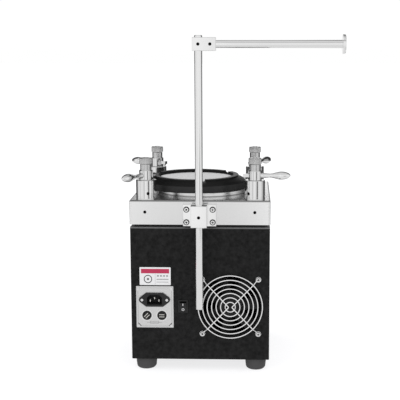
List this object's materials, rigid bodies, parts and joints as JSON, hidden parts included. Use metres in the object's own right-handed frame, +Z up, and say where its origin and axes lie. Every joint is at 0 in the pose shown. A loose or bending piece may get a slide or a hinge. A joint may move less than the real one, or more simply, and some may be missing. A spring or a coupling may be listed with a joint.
{
  "type": "bench lapping and polishing machine",
  "caption": "Bench lapping machine: an orbiting round pad under four corner pressure posts on a square steel deck and black case, with a hanger mast and arm at the back.",
  "frame": {"origin": "on the floor, under the middle of the case", "axes": "+Z up, +Y towards the operator's side, so the mast, fan and mains inlet are at -Y; +X to the right as seen from the back"},
  "size_m": [0.3591, 0.2793, 0.538],
  "materials": {
    "black_paint": "fine textured powder coat",
    "dark_steel": "black oxide",
    "brushed_steel": "polished and lightly brushed stainless",
    "machined_steel": "turned and milled stainless",
    "polished_steel": "polished",
    "foot_rubber": "moulded rubber",
    "belt_rubber": "ribbed belt",
    "plate_aluminium": "turned",
    "gear_steel": "cut steel",
    "pad_rubber": "fine matt rubber",
    "splash_plastic": "satin",
    "inlet_aluminium": "fine brushed",
    "black_plastic": "moulded",
    "contact_metal": "plated",
    "bright_wire": "bright nickel plate",
    "screw_steel": "zinc plate",
    "black_screw": "black oxide",
    "motor_paint": "gloss black",
    "board_green": "solder mask",
    "button_green": "satin",
    "button_red": "satin"
  },
  "bodies": {
    "root": {"base_plate": "dark_steel", "collar_ring": "brushed_steel", "control_board": "board_green", "deck": "brushed_steel", "drive_belt": "belt_rubber", "fan_frame": "black_plastic", "fan_guard": "bright_wire", "frame_posts": "dark_steel", "front_panel": "black_paint", "fuse_holders": "black_plastic", "grub_screws": "black_screw", "inlet_pins": "contact_metal", "inlet_plate": "inlet_aluminium", "inlet_socket": "black_plastic", "left_cover": "black_paint", "motor": "motor_paint", "motor_bracket": "dark_steel", "pan_screws": "screw_steel", "post_bases": "machined_steel", "post_shanks": "machined_steel", "pressure_springs": "gear_steel", "rear_panel": "black_paint", "right_cover": "black_paint", "ring_gear": "gear_steel", "rocker_frame": "black_plastic", "rod_bracket": "machined_steel", "rubber_feet": "foot_rubber", "spindle_bearings": "gear_steel", "spindle_housing": "plate_aluminium", "support_plate": "dark_steel"},
    "spindle": {"spindle": "gear_steel", "driven_pulley": "plate_aluminium"},
    "plate": {"planet_gear": "gear_steel", "plate_bearings": "gear_steel", "lap_plate": "plate_aluminium", "polish_pad": "pad_rubber", "splash_ring": "splash_plastic"},
    "motor_rotor": {"motor_pulley": "plate_aluminium"},
    "fan_rotor": {"fan_rotor": "black_plastic"},
    "rocker": {"rocker_key": "black_plastic"},
    "fuse_cap_left": {"fuse_cap_left": "black_plastic"},
    "fuse_cap_right": {"fuse_cap_right": "black_plastic"},
    "mast": {"stand_rod": "polished_steel"},
    "cross_block": {"cross_block": "machined_steel"},
    "hanger_arm": {"hanger_arm": "polished_steel"},
    "start_button": {"start_button": "button_green"},
    "stop_button": {"stop_button": "button_red"},
    "speed_dial": {"speed_dial": "black_plastic"},
    "head_rear_left": {"press_head_rear_left": "machined_steel", "lever_rear_left": "polished_steel"},
    "knob_rear_left": {"knob_rear_left": "machined_steel"},
    "head_rear_right": {"press_head_rear_right": "machined_steel", "lever_rear_right": "polished_steel"},
    "knob_rear_right": {"knob_rear_right": "machined_steel"},
    "head_front_left": {"press_head_front_left": "machined_steel", "lever_front_left": "polished_steel"},
    "knob_front_left": {"knob_front_left": "machined_steel"},
    "head_front_right": {"press_head_front_right": "machined_steel", "lever_front_right": "polished_steel"},
    "knob_front_right": {"knob_front_right": "machined_steel"}
  },
  "joints": [
    {"name": "spindle_spin", "type": "hinge", "parent": "root", "child": "spindle", "pos_m": [0, 0, 0.22], "axis": [0, 0, 1], "continuous": true},
    {"name": "plate_spin", "type": "hinge", "parent": "spindle", "child": "plate", "pos_m": [-0.0125, 0, 0.285], "axis": [0, 0, 1], "continuous": true},
    {"name": "motor_spin", "type": "hinge", "parent": "root", "child": "motor_rotor", "pos_m": [0, 0.062, 0.189], "axis": [0, 0, 1], "continuous": true},
    {"name": "fan_spin", "type": "hinge", "parent": "root", "child": "fan_rotor", "pos_m": [0.0484, -0.097, 0.1085], "axis": [0, 1, 0], "continuous": true},
    {"name": "rocker_tip", "type": "hinge", "parent": "root", "child": "rocker", "pos_m": [-0.0275, -0.108, 0.1086], "axis": [1, 0, 0], "range_deg": [-18, 0]},
    {"name": "fuse_cap_left_turn", "type": "hinge", "parent": "root", "child": "fuse_cap_left", "pos_m": [-0.0857, -0.114, 0.0935], "axis": [0, 1, 0], "range_deg": [0, 90]},
    {"name": "fuse_cap_right_turn", "type": "hinge", "parent": "root", "child": "fuse_cap_right", "pos_m": [-0.0616, -0.114, 0.0935], "axis": [0, 1, 0], "range_deg": [0, 90]},
    {"name": "mast_height", "type": "slide", "parent": "root", "child": "mast", "axis": [0, 0, 1], "range_m": [-0.08, 0.1]},
    {"name": "arm_swing", "type": "hinge", "parent": "mast", "child": "cross_block", "pos_m": [0, -0.128, 0.5238], "axis": [0, 0, 1], "range_deg": [-90, 180]},
    {"name": "arm_reach", "type": "slide", "parent": "cross_block", "child": "hanger_arm", "axis": [1, 0, 0], "range_m": [0, 0.008]},
    {"name": "start_press", "type": "slide", "parent": "root", "child": "start_button", "axis": [0, -1, 0], "range_m": [0, 0.003], "stiffness_N_per_m": 300},
    {"name": "stop_press", "type": "slide", "parent": "root", "child": "stop_button", "axis": [0, -1, 0], "range_m": [0, 0.003], "stiffness_N_per_m": 300},
    {"name": "speed_turn", "type": "hinge", "parent": "root", "child": "speed_dial", "pos_m": [0.048, 0.118, 0.12], "axis": [0, 1, 0], "range_deg": [-140, 140]},
    {"name": "lever_rear_left_swing", "type": "hinge", "parent": "root", "child": "head_rear_left", "pos_m": [-0.087, -0.087, 0.318], "axis": [0, 0, 1], "range_deg": [-111, 89]},
    {"name": "knob_rear_left_turn", "type": "hinge", "parent": "head_rear_left", "child": "knob_rear_left", "pos_m": [-0.087, -0.087, 0.341], "axis": [0, 0, 1], "range_deg": [-360, 360]},
    {"name": "lever_rear_right_swing", "type": "hinge", "parent": "root", "child": "head_rear_right", "pos_m": [0.087, -0.087, 0.318], "axis": [0, 0, 1], "range_deg": [-145, 55]},
    {"name": "knob_rear_right_turn", "type": "hinge", "parent": "head_rear_right", "child": "knob_rear_right", "pos_m": [0.087, -0.087, 0.341], "axis": [0, 0, 1], "range_deg": [-360, 360]},
    {"name": "lever_front_left_swing", "type": "hinge", "parent": "root", "child": "head_front_left", "pos_m": [-0.087, 0.087, 0.318], "axis": [0, 0, 1], "range_deg": [-115, 85]},
    {"name": "knob_front_left_turn", "type": "hinge", "parent": "head_front_left", "child": "knob_front_left", "pos_m": [-0.087, 0.087, 0.341], "axis": [0, 0, 1], "range_deg": [-360, 360]},
    {"name": "lever_front_right_swing", "type": "hinge", "parent": "root", "child": "head_front_right", "pos_m": [0.087, 0.087, 0.318], "axis": [0, 0, 1], "range_deg": [-115.5, 84.5]},
    {"name": "knob_front_right_turn", "type": "hinge", "parent": "head_front_right", "child": "knob_front_right", "pos_m": [0.087, 0.087, 0.341], "axis": [0, 0, 1], "range_deg": [-360, 360]}
  ],
  "couplings": [
    {"joint": "plate_spin", "follows": "spindle_spin", "ratio": -1.25},
    {"joint": "motor_spin", "follows": "spindle_spin", "ratio": 2.5}
  ]
}
